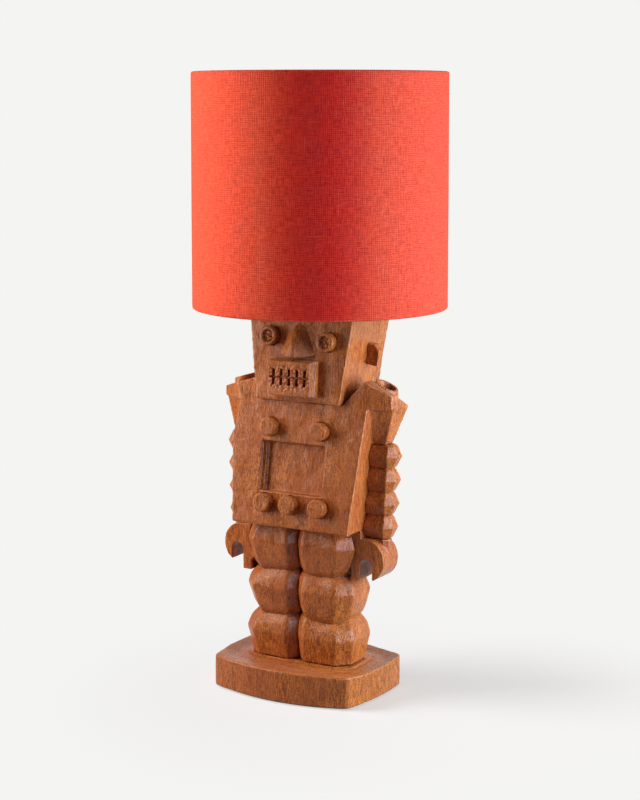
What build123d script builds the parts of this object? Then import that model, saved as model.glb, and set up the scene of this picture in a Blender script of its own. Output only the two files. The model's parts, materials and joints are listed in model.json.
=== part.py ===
"""Table lamp whose base is a carved hardwood robot, with a fabric drum shade.

Millimetres, +Z up. The origin is on the floor, on the axis of the lampholder and the shade.
The robot faces -Y and its own left side is +X. The figure stands a little in front of the lamp's
axis, and its body is centred on body_x, the head on the lamp's axis.
"""

import os
from math import hypot

from build123d import *

os.makedirs("parts", exist_ok=True)

SIDES = (("left", 1), ("right", -1))


def save(piece, name):
    """Labels a finished piece and writes it as its own STEP file."""
    piece.part.label = name
    export_step(piece.part, f"parts/{name}.step")


def between(start, end, share):
    """The value at a share of the way from start to end."""
    return start + (end - start) * share


# ---------------------------------------------------------------- driving dimensions

# fits and clearances
drill_gap = 0.3             # round the tube in the wood
bar_gap = 0.1               # round the push bar in its holes
thread_gap = 0.1            # round the shade ring and the bulb's cap
seat_gap = 0.05             # under what rests on the gallery

# plinth
felt_thickness = 1.5
felt_inset = 4.0
base_thickness = 30.5
base_left = 75.5            # the plan's corners, by the robot's own left and right
base_left_front = 67.0
base_right = -87.0
base_right_front = -83.5
base_front = -64.0
base_back = 30.0
base_front_bow = 15.0
base_back_bow = 17.0
base_side_bow = 4.5
base_corner_radius = 8.0
base_edge_radius = 1.0
body_x = -1.5

# legs: three bulging blocks each, joined where they part
leg_height = 135.0
leg_blocks = 3
leg_parting_x = -4.0
leg_width = 60.0            # at the belly of a block
leg_waist = 6.5             # the waist's inset at the outer side
leg_front_belly = -45.5
leg_front_waist = -39.5
leg_back_belly = 19.0
leg_back_waist = 14.5
leg_outer_chamfer = 13.0
leg_rear_chamfer = 16.0
leg_inner_chamfer = 9.0
foot_belly_share = 0.3      # how full the foot is, where a waist is 0 and a belly is 1
# how full a block is at shares of its height
block_shape = ((0.30, 0.62), (0.58, 1.0), (0.80, 0.60), (1.0, 0.0))

# torso
torso_height = 118.5        # up to the underside of the shoulder bar
flank_height = 82.0         # where the flanks are widest or bend, above the torso's end
torso_left_bottom = 64.2    # the flanks' places, from body_x
torso_left_flank = 71.5
torso_left_top = 75.0
torso_right_bottom = 65.0
torso_right_flank = 71.5
torso_right_top = 66.5
torso_front_bottom = -58.0
torso_front_top = -39.5     # at the bar's underside
torso_back = 22.0

# shoulder bar, whose two ends aren't quite alike
shoulder_left_half = 99.0   # from body_x to the bar's end
shoulder_right_half = 95.5
shoulder_cut_half = 66.0    # where the bar's ends begin to draw back
shoulder_front_end = -26.0
shoulder_front_in = 4.0     # the end's front corner is nearer than its back corner
shoulder_back_end = 0.0
roof_left_inner_half = 70.0
roof_left_inner_rise = 26.5  # above the bar's underside
roof_left_outer_rise = 12.5
roof_right_inner_half = 48.5
roof_right_inner_rise = 23.0
roof_right_outer_rise = 8.5
roof_ridge_y = -20.0        # behind this the roof falls to the back
roof_back_slope = 0.52
cradle_left_half = 49.0     # where the head's seat ends, from body_x
cradle_right_half = 46.0
cradle_above_bar = 3.5      # the head's seat above the bar's underside
arris_radius = 1.6          # softened edges of the big blocks

# chest
screen_width = 71.0
screen_height = 49.0
screen_x = -2.0
screen_above_bottom = 57.5
screen_step = 4.0           # the ledge along the screen's edge at the robot's right
screen_step_depth = 3.5
screen_depth = 8.0
knob_radius = 8.9
knob_proud = 9.0
knob_sunk = 5.0
knob_edge_radius = 1.2
knob_low_right_x = -29.0
knob_low_middle_x = -0.5
knob_low_left_x = 32.0
knob_row_above_bottom = 22.5
knob_top_spread = 28.0
knob_top_above_bottom = 95.0

# head
head_height = 103.0
head_bottom_half = 46.5
head_top_half = 60.5
head_front_bottom = -45.0
head_front_top = -35.5
head_back_bottom = 31.0
head_back_top = 41.0
eye_radius = 9.2
eye_spread = 31.5
eye_above_chin = 62.0
eye_drop = 2.5              # the robot's left eye sits lower than its right one
eye_proud = 8.0
eye_sunk = 5.0
eye_well_radius = 6.0
eye_well_depth = 1.6
nose_above_chin = 45.0
nose_height = 29.0
nose_half_bottom = 20.0
nose_half_top = 9.0
nose_proud_bottom = 13.5
nose_proud_top = 4.0
nose_x = -1.5
mouth_width = 50.0
mouth_height = 34.5
mouth_proud = 11.0
mouth_bevel = 4.0
mouth_side_bevel = 5.0
mouth_above_chin = 6.0
mouth_x = -2.0
teeth_x = -4.0
tooth_count = 6
tooth_pitch = 8.7
tooth_height = 6.9
tooth_slot = 3.2
tooth_slot_depth = 4.0
tooth_row_gap = 2.0
tooth_row_depth = 3.0
ear_reach = 13.0
ear_width = 9.5
ear_height = 20.5
ear_above_chin = 45.5
ear_y = 3.0
ear_chamfer = 5.5

# arms and hands
upper_arm_height = 34.5
upper_arm_set_back = 3.5    # behind the bar's front
upper_arm_lean = 12.0       # how far its lower end lies in from the bar's end
upper_arm_low_width = 10.5
upper_arm_low_front = -22.5
upper_arm_low_back = -7.5
forearm_height = 92.0
forearm_ridges = 4
forearm_ridge_half = 12.8
forearm_valley_half = 7.8
forearm_chamfer_share = 0.58
forearm_left_in = 13.0      # from the bar's end to the forearm's middle
forearm_right_in = 15.5
forearm_left_lean = 5.3     # how much further in its lower end is
forearm_right_lean = 2.0
forearm_inner_half = 64.0   # inside the torso's flank, which cuts it off
arm_y = -15.0
hand_depth = 31.0
hand_half_width = 19.0
hand_half_height = 20.5
hand_left_in = 10.8         # from the forearm's lower end to the middle of the hand
hand_right_in = 6.0
hand_web_half = 50.0        # inside the leg, which cuts it off
claw_slot = 13.2
claw_left_out = -0.5        # the slot's middle, further out than the hand's
claw_right_out = 3.7
claw_arch_drop = 5.9
claw_thumb_left_reach = 20.5  # the inner prong, below the hand's middle
claw_thumb_right_reach = 25.0
claw_thumb_width = 9.6
collar_radius = 11.0
collar_bore = 7.8
collar_left_proud = 0.5     # above the roof's front edge
collar_right_proud = 5.5
collar_depth = 14.0
collar_in = 17.5            # from the bar's end
collar_y = -10.5

# glue dowels
dowel_radius = 4.0
dowel_length = 24.0
dowel_spread = 30.0
dowel_y = -16.0
shoulder_dowel_below_bar = 11.0

# tube and nuts
tube_radius = 5.0
tube_wall = 1.5
nut_flats = 17.0
nut_height = 6.0
washer_radius = 12.0
washer_thickness = 2.0
nut_well_radius = 20.0
nut_well_depth = 14.0
tube_past_nut = 2.0
head_plate_radius = 18.0
head_plate_thickness = 2.0

# cord inlet at the back of the plinth
cord_bore = 3.5
cord_channel_radius = 4.5
cord_above_floor = 12.5
bush_radius = 6.5
bush_length = 12.0
bush_flange_radius = 9.0
bush_flange = 2.5
bush_flange_sunk = 1.5

# lampholder for an E27 bulb
holder_radius = 20.0
holder_wall = 2.0
holder_boss_radius = 9.0
holder_thread_depth = 9.0
cap_height = 24.0
sleeve_height = 38.0
sleeve_flange_radius = 23.5
sleeve_flange = 2.5
core_height = 13.0
core_gap = 0.2
shell_bore = 13.6
shell_wall = 0.6
shell_height = 22.0
contact_height = 3.0
contact_length = 10.0
contact_width = 5.0
switch_bar_radius = 2.25
switch_bar_half = 30.0
switch_cap_radius = 4.0
switch_cap_length = 6.0
switch_cap_edge = 1.0
switch_block_length = 12.0
switch_block_width = 14.0
switch_above_cap = 16.0
switch_travel = 5.0
screw_head_radius = 2.6
screw_head = 2.0
screw_shank_radius = 1.5
screw_shank = 7.0
screw_spread = 9.5

# shade seat
gallery_radius = 42.0
gallery_thickness = 1.5
gallery_rim = 1.2
gallery_rim_wall = 1.2
ring_radius = 26.0
ring_height = 8.0
ring_edge_radius = 0.8
ring_notches = 12
ring_notch_radius = 1.6
seat_ring_inner = 33.5
seat_ring_outer = 39.5
seat_ring_thickness = 2.0

# shade
shade_radius = 125.0
shade_height = 229.0
shade_bottom = 376.5
fabric_thickness = 0.5
liner_thickness = 0.5
liner_short = 3.0           # the liner ends short of the cover's hems
wire_radius = 1.6
spider_arms = 3
arm_gap = 0.5               # over the gallery's rim
spider_elbow = 48.0
spider_bend = 10.0

# bulb
bulb_cap_height = 20.0
bulb_insulator_height = 4.5
bulb_insulator_inset = 2.0
bulb_tip_radius = 4.5
bulb_radius = 30.0
bulb_neck = 8.0
bulb_shoulder = 37.0        # from the neck up to the widest ring
bulb_glass_wall = 0.9
bulb_pitch = 3.629
bulb_travel = 16.0

# ---------------------------------------------------------------- heights

base_bottom = felt_thickness
base_top = base_bottom + base_thickness
leg_top = base_top + leg_height
bar_bottom = leg_top + torso_height
chin = bar_bottom + cradle_above_bar
roof_high = bar_bottom + max(roof_left_inner_rise, roof_right_inner_rise)
head_top = chin + head_height
forearm_top = bar_bottom - upper_arm_height
forearm_bottom = forearm_top - forearm_height
plate_top = head_top + head_plate_thickness
cap_bottom = plate_top + nut_height
cap_top = cap_bottom + cap_height
tube_top = cap_bottom + holder_thread_depth
nut_well_top = base_bottom + nut_well_depth
washer_bottom = nut_well_top - washer_thickness
nut_bottom = washer_bottom - nut_height
tube_bottom = nut_bottom - tube_past_nut
tube_hole = tube_radius + drill_gap

# what differs between the robot's two sides
flanks = {
    "left": (torso_left_bottom, torso_left_flank, torso_left_top),
    "right": (torso_right_bottom, torso_right_flank, torso_right_top),
}
shoulder_half = {"left": shoulder_left_half, "right": shoulder_right_half}
roof_edges = {
    "left": (roof_left_inner_half, roof_left_inner_rise, roof_left_outer_rise),
    "right": (roof_right_inner_half, roof_right_inner_rise, roof_right_outer_rise),
}
cradle_half = {"left": cradle_left_half, "right": cradle_right_half}
collar_proud = {"left": collar_left_proud, "right": collar_right_proud}
forearm_places = {
    "left": (forearm_left_in, forearm_left_lean),
    "right": (forearm_right_in, forearm_right_lean),
}
hand_shapes = {
    "left": (hand_left_in, claw_left_out, claw_thumb_left_reach),
    "right": (hand_right_in, claw_right_out, claw_thumb_right_reach),
}

# ---------------------------------------------------------------- threaded tube

with BuildPart() as threaded_tube:
    with BuildSketch(Plane.XY.offset(tube_bottom)):
        Circle(tube_radius)
        Circle(tube_radius - tube_wall, mode=Mode.SUBTRACT)
    extrude(amount=tube_top - tube_bottom)
save(threaded_tube, "threaded_tube")

# the drill that clears the tube through the wood
tube_drill = Pos(0, 0, base_bottom) * Cylinder(
    tube_hole,
    head_top - base_bottom,
    align=(Align.CENTER, Align.CENTER, Align.MIN),
)

# ---------------------------------------------------------------- glue dowels

with BuildPart() as glue_dowels:
    for joint_height in (base_top, leg_top):
        with BuildSketch(Plane.XY.offset(joint_height - dowel_length / 2)):
            with Locations(
                (body_x - dowel_spread, dowel_y), (body_x + dowel_spread, dowel_y)
            ):
                Circle(dowel_radius)
        extrude(amount=dowel_length)
    shoulder_dowel_z = bar_bottom - shoulder_dowel_below_bar
    for name, side in SIDES:
        dowel_middle = body_x + side * flanks[name][-1]
        with BuildSketch(Plane.YZ.offset(dowel_middle)):
            with Locations((arm_y + dowel_radius, shoulder_dowel_z)):
                Circle(dowel_radius)
        extrude(amount=dowel_length / 2, both=True)
save(glue_dowels, "glue_dowels")

# ---------------------------------------------------------------- plinth

base_x = (base_left + base_right) / 2
base_y = (base_front + base_back) / 2
base_rear = base_back + base_back_bow


def plinth_plan(inset):
    """The plinth's plan, drawn in by an inset: four bowed sides with rounded corners."""
    front_left = (base_left_front - inset, base_front + inset)
    front_right = (base_right_front + inset, base_front + inset)
    back_left = (base_left - inset, base_back - inset)
    back_right = (base_right + inset, base_back - inset)
    front_middle = (base_x, base_front - base_front_bow + inset)
    back_middle = (base_x, base_rear - inset)
    left_middle = ((base_left_front + base_left) / 2 + base_side_bow - inset, base_y)
    right_middle = ((base_right_front + base_right) / 2 - base_side_bow + inset, base_y)
    with BuildSketch() as plan:
        with BuildLine():
            ThreePointArc(front_right, front_middle, front_left)
            ThreePointArc(front_left, left_middle, back_left)
            ThreePointArc(back_left, back_middle, back_right)
            ThreePointArc(back_right, right_middle, front_right)
        make_face()
        fillet(plan.vertices(), base_corner_radius)
    return plan.sketch


with BuildPart() as base_plinth:
    with BuildSketch(Plane.XY.offset(base_bottom)):
        add(plinth_plan(0))
    extrude(amount=base_thickness)
    fillet(base_plinth.faces().sort_by(Axis.Z)[-1].edges(), base_edge_radius)
    # well for the lower nut, and the channel that brings the cord to it
    with BuildSketch(Plane.XY.offset(base_bottom)):
        Circle(nut_well_radius)
    extrude(amount=nut_well_depth, mode=Mode.SUBTRACT)
    with BuildSketch(Plane.XZ):
        with Locations((0, cord_above_floor)):
            Circle(cord_channel_radius)
    extrude(amount=-base_rear, mode=Mode.SUBTRACT)
    with BuildSketch(Plane.XZ.offset(-(base_rear - bush_flange_sunk))):
        with Locations((0, cord_above_floor)):
            Circle(bush_radius)
    extrude(amount=bush_length, mode=Mode.SUBTRACT)
    with BuildSketch(Plane.XZ.offset(-(base_rear - bush_flange_sunk))):
        with Locations((0, cord_above_floor)):
            Circle(bush_flange_radius)
    extrude(amount=-bush_flange_sunk * 2, mode=Mode.SUBTRACT)
    add(tube_drill, mode=Mode.SUBTRACT)
    add(glue_dowels.part, mode=Mode.SUBTRACT)
save(base_plinth, "base_plinth")

with BuildPart() as felt_pad:
    with BuildSketch():
        add(plinth_plan(felt_inset))
    extrude(amount=felt_thickness)
save(felt_pad, "felt_pad")

with BuildPart() as cord_bush:
    with BuildSketch(Plane.XZ.offset(-(base_rear - bush_flange_sunk))):
        with Locations((0, cord_above_floor)):
            Circle(bush_radius)
    extrude(amount=bush_length)
    with BuildSketch(Plane.XZ.offset(-(base_rear - bush_flange_sunk))):
        with Locations((0, cord_above_floor)):
            Circle(bush_flange_radius)
    extrude(amount=-bush_flange)
    fillet(cord_bush.faces().sort_by(Axis.Y)[-1].edges(), bush_flange / 3)
    with BuildSketch(Plane.XZ.offset(-(base_rear + bush_flange))):
        with Locations((0, cord_above_floor)):
            Circle(cord_bore)
    extrude(amount=bush_length + 2 * bush_flange, mode=Mode.SUBTRACT)
save(cord_bush, "cord_bush")

# ---------------------------------------------------------------- nuts, washer and cover plate

with BuildPart() as tube_nuts:
    for nut_foot in (nut_bottom, plate_top):
        with BuildSketch(Plane.XY.offset(nut_foot)):
            RegularPolygon(nut_flats / 2, 6, major_radius=False)
            Circle(tube_radius, mode=Mode.SUBTRACT)
        extrude(amount=nut_height)
save(tube_nuts, "tube_nuts")

with BuildPart() as lower_washer:
    with BuildSketch(Plane.XY.offset(washer_bottom)):
        Circle(washer_radius)
        Circle(tube_hole, mode=Mode.SUBTRACT)
    extrude(amount=washer_thickness)
save(lower_washer, "lower_washer")

with BuildPart() as head_plate:
    with BuildSketch(Plane.XY.offset(head_top)):
        Circle(head_plate_radius)
        Circle(tube_hole, mode=Mode.SUBTRACT)
    extrude(amount=head_plate_thickness)
save(head_plate, "head_plate")

# ---------------------------------------------------------------- legs

leg_pitch = leg_height / leg_blocks


def leg_section(height, side, belly):
    """One eight-sided section of a leg, as a sketch; belly is 1 at a bulge and 0 at a waist."""
    width = between(leg_width - leg_waist, leg_width, belly)
    front = between(leg_front_waist, leg_front_belly, belly)
    back = between(leg_back_waist, leg_back_belly, belly)
    inner = leg_inner_chamfer
    outer = leg_outer_chamfer
    rear = leg_rear_chamfer
    corners = [
        (0, front + inner),
        (inner, front),
        (width - outer, front),
        (width, front + outer),
        (width, back - rear),
        (width - rear, back),
        (inner, back),
        (0, back - inner),
    ]
    points = [(leg_parting_x + side * x, y) for x, y in corners]
    with BuildSketch(Plane.XY.offset(height)) as section:
        Polygon(*points, align=None)
    return section.sketch


leg_stations = [(base_top, foot_belly_share)]
for block in range(leg_blocks):
    for share, belly in block_shape:
        leg_stations.append((base_top + (block + share) * leg_pitch, belly))

legs = {}
for name, side in SIDES:
    with BuildPart() as leg:
        loft([leg_section(z, side, belly) for z, belly in leg_stations], ruled=True)
        add(tube_drill, mode=Mode.SUBTRACT)
        add(glue_dowels.part, mode=Mode.SUBTRACT)
    save(leg, f"{name}_leg")
    legs[name] = leg

# ---------------------------------------------------------------- torso

screen_z = leg_top + screen_above_bottom
chest_tilt = (torso_front_top - torso_front_bottom) / torso_height
screen_y = torso_front_bottom + screen_above_bottom * chest_tilt
chest_plane = Plane(
    origin=(body_x, screen_y, screen_z),
    x_dir=(1, 0, 0),
    z_dir=(0, -1, chest_tilt),
)
chest_slant = hypot(1, chest_tilt)


def on_chest(x, height_above_bottom):
    """A place on the chest plane, from its offset to the side and its height above the torso's end."""
    return (x, (height_above_bottom - screen_above_bottom) * chest_slant)


knob_places = {
    "chest_knob_top_right": on_chest(-knob_top_spread, knob_top_above_bottom),
    "chest_knob_top_left": on_chest(knob_top_spread, knob_top_above_bottom),
    "chest_knob_low_right": on_chest(knob_low_right_x, knob_row_above_bottom),
    "chest_knob_low_middle": on_chest(knob_low_middle_x, knob_row_above_bottom),
    "chest_knob_low_left": on_chest(knob_low_left_x, knob_row_above_bottom),
}


def roof_slope(name):
    """How much a side's roof falls for each mm outwards."""
    inner_half, inner_rise, outer_rise = roof_edges[name]
    return (inner_rise - outer_rise) / (shoulder_half[name] - inner_half)


def side_outline(name):
    """One side of the torso's outline, as distances from body_x and heights."""
    bottom, flank, top = flanks[name]
    inner_half, inner_rise, outer_rise = roof_edges[name]
    return [
        (bottom, leg_top),
        (flank, leg_top + flank_height),
        (top, bar_bottom),
        (shoulder_half[name], bar_bottom),
        (shoulder_half[name], bar_bottom + outer_rise),
        (inner_half, bar_bottom + inner_rise),
        (cradle_half[name], chin),
    ]


# each collar's axis, and the heights of its rim and its foot there
collar_places = {}
for name, side in SIDES:
    collar_half = shoulder_half[name] - collar_in
    roof_there = bar_bottom + roof_edges[name][-1] + collar_in * roof_slope(name)
    rim = roof_there + collar_proud[name]
    collar_places[name] = (body_x + side * collar_half, rim, rim - collar_depth)

with BuildPart() as torso:
    roof_front = torso_front_bottom + (roof_high - leg_top) * chest_tilt
    with BuildSketch(Plane.YZ.offset(body_x)):
        Polygon(
            (torso_front_bottom, leg_top),
            (roof_front, roof_high),
            (torso_back, roof_high),
            (torso_back, leg_top),
            align=None,
        )
    extrude(amount=shoulder_left_half + shoulder_right_half, both=True)
    outline = [(body_x + x, z) for x, z in side_outline("left")]
    outline += [(body_x - x, z) for x, z in reversed(side_outline("right"))]
    with BuildSketch(Plane.XZ):
        Polygon(*outline, align=None)
    extrude(amount=shoulder_left_half + shoulder_right_half, both=True, mode=Mode.INTERSECT)
    for name, side in SIDES:
        # the end of the shoulder bar draws back from the chest and in from the back
        half = shoulder_half[name]
        front_corner = (body_x + side * (half - shoulder_front_in), shoulder_front_end)
        back_corner = (body_x + side * half, shoulder_back_end)
        with BuildSketch(Plane.XY.offset(bar_bottom)):
            Polygon(
                (body_x + side * shoulder_cut_half, torso_front_top),
                front_corner,
                back_corner,
                (body_x + side * half, torso_front_bottom),
                (body_x + side * shoulder_cut_half, torso_front_bottom),
                align=None,
            )
            Polygon(
                (body_x + side * flanks[name][-1], torso_back),
                back_corner,
                (body_x + side * half, torso_back),
                align=None,
            )
        extrude(amount=roof_high - bar_bottom, mode=Mode.SUBTRACT)
        # the back of the roof falls away
        inner_half, inner_rise, _ = roof_edges[name]
        roof_plane = Plane(
            origin=(body_x + side * inner_half, roof_ridge_y, bar_bottom + inner_rise),
            x_dir=(0, 1, 0),
            z_dir=(side * roof_slope(name), roof_back_slope, 1),
        )
        with BuildSketch(roof_plane):
            with Locations((torso_back - roof_ridge_y, 0)):
                Rectangle(2 * (torso_back - roof_ridge_y), 2 * half)
        extrude(amount=2 * inner_rise, mode=Mode.SUBTRACT)
    torso_arrises = (
        torso.edges()
        .filter_by_position(Axis.Z, leg_top - arris_radius, leg_top + arris_radius)
        .filter_by(Axis.X)
    )
    fillet(torso_arrises, arris_radius)
    # recessed screen with a stepped frame
    with BuildSketch(chest_plane):
        with Locations((screen_x, 0)):
            Rectangle(screen_width, screen_height)
    extrude(amount=-screen_step_depth, mode=Mode.SUBTRACT)
    with BuildSketch(chest_plane):
        with Locations((screen_x + screen_step / 2, 0)):
            Rectangle(screen_width - screen_step, screen_height)
    extrude(amount=-screen_depth, mode=Mode.SUBTRACT)
    with BuildSketch(chest_plane.offset(-knob_sunk)):
        with Locations(*knob_places.values()):
            Circle(knob_radius)
    extrude(amount=knob_sunk * 3, mode=Mode.SUBTRACT)
    add(tube_drill, mode=Mode.SUBTRACT)
    add(glue_dowels.part, mode=Mode.SUBTRACT)
    # a socket for each shoulder collar
    for name in collar_places:
        x, rim, foot = collar_places[name]
        with BuildSketch(Plane.XY.offset(foot)):
            with Locations((x, collar_y)):
                Circle(collar_radius)
        extrude(amount=roof_high, mode=Mode.SUBTRACT)
save(torso, "torso")

for name, side in SIDES:
    x, rim, foot = collar_places[name]
    with BuildPart() as collar:
        with BuildSketch(Plane.XY.offset(foot)):
            with Locations((x, collar_y)):
                Circle(collar_radius)
                Circle(collar_bore, mode=Mode.SUBTRACT)
        extrude(amount=2 * collar_depth)
        rim_plane = Plane(
            origin=(x, collar_y, rim),
            x_dir=(0, 1, 0),
            z_dir=(side * roof_slope(name), 0, 1),
        )
        split(bisect_by=rim_plane, keep=Keep.BOTTOM)
        fillet(collar.faces().sort_by(Axis.Z)[-1].edges(), arris_radius / 2)
    save(collar, f"{name}_shoulder_collar")

for name, place in knob_places.items():
    with BuildPart() as knob:
        with BuildSketch(chest_plane.offset(-knob_sunk)):
            with Locations(place):
                Circle(knob_radius)
        extrude(amount=knob_sunk + knob_proud)
        fillet(knob.faces().sort_by(Axis.Y)[0].edges(), knob_edge_radius)
    save(knob, name)

# ---------------------------------------------------------------- head and face

face_tilt = (head_front_top - head_front_bottom) / head_height
face_slant = hypot(1, face_tilt)
face_plane = Plane(
    origin=(0, head_front_bottom, chin), x_dir=(1, 0, 0), z_dir=(0, -1, face_tilt)
)
cheek_slope = (head_top_half - head_bottom_half) / head_height
eye_places = {
    "left": (eye_spread, (eye_above_chin - eye_drop) * face_slant),
    "right": (-eye_spread, eye_above_chin * face_slant),
}

with BuildPart() as head:
    for height, half, front, back in (
        (chin, head_bottom_half, head_front_bottom, head_back_bottom),
        (head_top, head_top_half, head_front_top, head_back_top),
    ):
        with BuildSketch(Plane.XY.offset(height)):
            with Locations((0, (front + back) / 2)):
                Rectangle(2 * half, back - front)
    loft(ruled=True)
    with BuildSketch(face_plane.offset(-eye_sunk)):
        with Locations(*eye_places.values()):
            Circle(eye_radius)
    extrude(amount=eye_sunk * 2, mode=Mode.SUBTRACT)
    add(tube_drill, mode=Mode.SUBTRACT)
save(head, "head")

for name, place in eye_places.items():
    with BuildPart() as eye:
        with BuildSketch(face_plane.offset(-eye_sunk)):
            with Locations(place):
                Circle(eye_radius)
        extrude(amount=eye_sunk + eye_proud)
        fillet(eye.faces().sort_by(Axis.Y)[0].edges(), knob_edge_radius)
        with BuildSketch(face_plane.offset(eye_proud)):
            with Locations(place):
                Circle(eye_well_radius)
        extrude(amount=-eye_well_depth, mode=Mode.SUBTRACT)
    save(eye, f"{name}_eye")

with BuildPart() as nose:
    for rise, half, proud in (
        (0, nose_half_bottom, nose_proud_bottom),
        (nose_height, nose_half_top, nose_proud_top),
    ):
        foot = face_plane.from_local_coords((nose_x, nose_above_chin * face_slant + rise, 0))
        section_plane = Plane(origin=foot, x_dir=(1, 0, 0), z_dir=face_plane.y_dir)
        ridge = half / 6
        with BuildSketch(section_plane):
            Polygon((-half, 0), (half, 0), (ridge, -proud), (-ridge, -proud), align=None)
    loft(ruled=True)
save(nose, "nose")

with BuildPart() as mouth:
    mouth_low = mouth_above_chin * face_slant
    with BuildSketch(face_plane):
        with Locations((mouth_x, mouth_low + mouth_height / 2)):
            Rectangle(mouth_width, mouth_height)
    extrude(amount=mouth_proud)
    lips = mouth.faces().sort_by(Axis.Y)[0].edges()
    chamfer(lips.sort_by(Axis.Z)[-1], length=mouth_bevel, length2=mouth_bevel / 2)
    side_lip = mouth.faces().sort_by(Axis.Y)[0].edges().sort_by(Axis.X)[-1]
    chamfer(side_lip, length=mouth_side_bevel)
    teeth_z = mouth_low + mouth_height / 2
    row_rise = (tooth_height + tooth_row_gap) / 2
    teeth_plane = face_plane.offset(mouth_proud)
    with BuildSketch(teeth_plane):
        with Locations((teeth_x, teeth_z)):
            with GridLocations(tooth_pitch, 2 * row_rise, tooth_count - 1, 2):
                Rectangle(tooth_slot, tooth_height)
    extrude(amount=-tooth_slot_depth, mode=Mode.SUBTRACT)
    with BuildSketch(teeth_plane):
        with Locations((teeth_x, teeth_z)):
            Rectangle((tooth_count - 1) * tooth_pitch, tooth_row_gap)
    extrude(amount=-tooth_row_depth, mode=Mode.SUBTRACT)
save(mouth, "mouth")

for name, side in SIDES:
    ear_z = chin + ear_above_chin
    cheek_x = head_bottom_half + ear_above_chin * cheek_slope
    cheek_plane = Plane(
        origin=(side * cheek_x, ear_y, ear_z),
        x_dir=(0, 1, 0),
        z_dir=(side, 0, -cheek_slope),
    )
    with BuildPart() as ear:
        with BuildSketch(cheek_plane):
            Rectangle(ear_width, ear_height)
        extrude(amount=ear_reach)
        ear_outer = ear.faces().sort_by(Axis.X)[-1 if side > 0 else 0]
        chamfer(ear_outer.edges().sort_by(Axis.Z)[-1], length=ear_chamfer)
    save(ear, f"{name}_ear")

# ---------------------------------------------------------------- arms and hands

forearm_pitch = forearm_height / forearm_ridges

for name, side in SIDES:
    half = shoulder_half[name]
    low_outer = half - upper_arm_lean
    low_inner = low_outer - upper_arm_low_width
    upper_arm_sections = {
        bar_bottom: (
            (shoulder_cut_half, torso_front_top + upper_arm_set_back),
            (half - shoulder_front_in, shoulder_front_end + upper_arm_set_back),
            (half, shoulder_back_end),
            (shoulder_cut_half, shoulder_back_end),
        ),
        forearm_top: (
            (low_inner, upper_arm_low_front),
            (low_outer, upper_arm_low_front),
            (low_outer, upper_arm_low_back),
            (low_inner, upper_arm_low_back),
        ),
    }
    with BuildPart() as upper_arm:
        for height, corners in upper_arm_sections.items():
            with BuildSketch(Plane.XY.offset(height)):
                Polygon(*[(body_x + side * x, y) for x, y in corners], align=None)
        loft(ruled=True)
        add(torso.part, mode=Mode.SUBTRACT)
        add(glue_dowels.part, mode=Mode.SUBTRACT)
    save(upper_arm, f"{name}_upper_arm")

    forearm_in, forearm_lean = forearm_places[name]
    with BuildPart() as forearm:
        for step in range(2 * forearm_ridges + 1):
            height = forearm_top - step * forearm_pitch / 2
            reach = forearm_ridge_half if step % 2 else forearm_valley_half
            share = step / (2 * forearm_ridges)
            outer = half - forearm_in - forearm_lean * share + reach
            corner = reach * forearm_chamfer_share
            section = [
                (forearm_inner_half, -reach),
                (outer - corner, -reach),
                (outer, corner - reach),
                (outer, reach - corner),
                (outer - corner, reach),
                (forearm_inner_half, reach),
            ]
            wrist_section = [(body_x + side * x, arm_y + y) for x, y in section]
            with BuildSketch(Plane.XY.offset(height)):
                Polygon(*wrist_section, align=None)
        loft(ruled=True)
        add(torso.part, mode=Mode.SUBTRACT)
    save(forearm, f"{name}_forearm")

    hand_in, claw_out, thumb_reach = hand_shapes[name]
    hand_x = body_x + side * (half - forearm_in - forearm_lean - hand_in)
    hand_z = forearm_bottom - hand_half_height
    claw_x = hand_x + side * claw_out
    arch_z = hand_z - claw_arch_drop
    thumb_x = claw_x - side * (claw_slot + claw_thumb_width) / 2
    web_low = body_x + side * hand_web_half
    web_high = body_x + side * forearm_inner_half
    with BuildPart() as hand:
        with BuildSketch(Plane.XZ.offset(-arm_y)):
            with Locations((hand_x, hand_z)):
                Ellipse(hand_half_width, hand_half_height)
            with Locations((thumb_x, hand_z - thumb_reach / 2)):
                Rectangle(claw_thumb_width, thumb_reach)
            # the web that joins the hand to the leg, under the forearm and the torso
            Polygon(
                (web_low, arch_z),
                (hand_x, arch_z),
                (hand_x, forearm_bottom),
                (web_high, forearm_bottom),
                (web_high, leg_top),
                (web_low, leg_top),
                align=None,
            )
            with Locations((claw_x, arch_z)):
                Circle(claw_slot / 2, mode=Mode.SUBTRACT)
            with Locations((claw_x, arch_z - thumb_reach / 2)):
                Rectangle(claw_slot, thumb_reach, mode=Mode.SUBTRACT)
        extrude(amount=hand_depth / 2, both=True)
        # the wrist carries the forearm's lowest section on into the hand
        with BuildSketch(Plane.XY.offset(arch_z + claw_slot / 2)):
            Polygon(*wrist_section, align=None)
        extrude(amount=forearm_bottom - arch_z - claw_slot / 2)
        add(legs[name].part, mode=Mode.SUBTRACT)
    save(hand, f"{name}_hand")

# ---------------------------------------------------------------- lampholder

sleeve_bore = holder_radius - holder_wall
core_bottom = cap_top
core_top = core_bottom + core_height
switch_z = cap_bottom + switch_above_cap
switch_block_bottom = switch_z - 2 * switch_bar_radius

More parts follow.
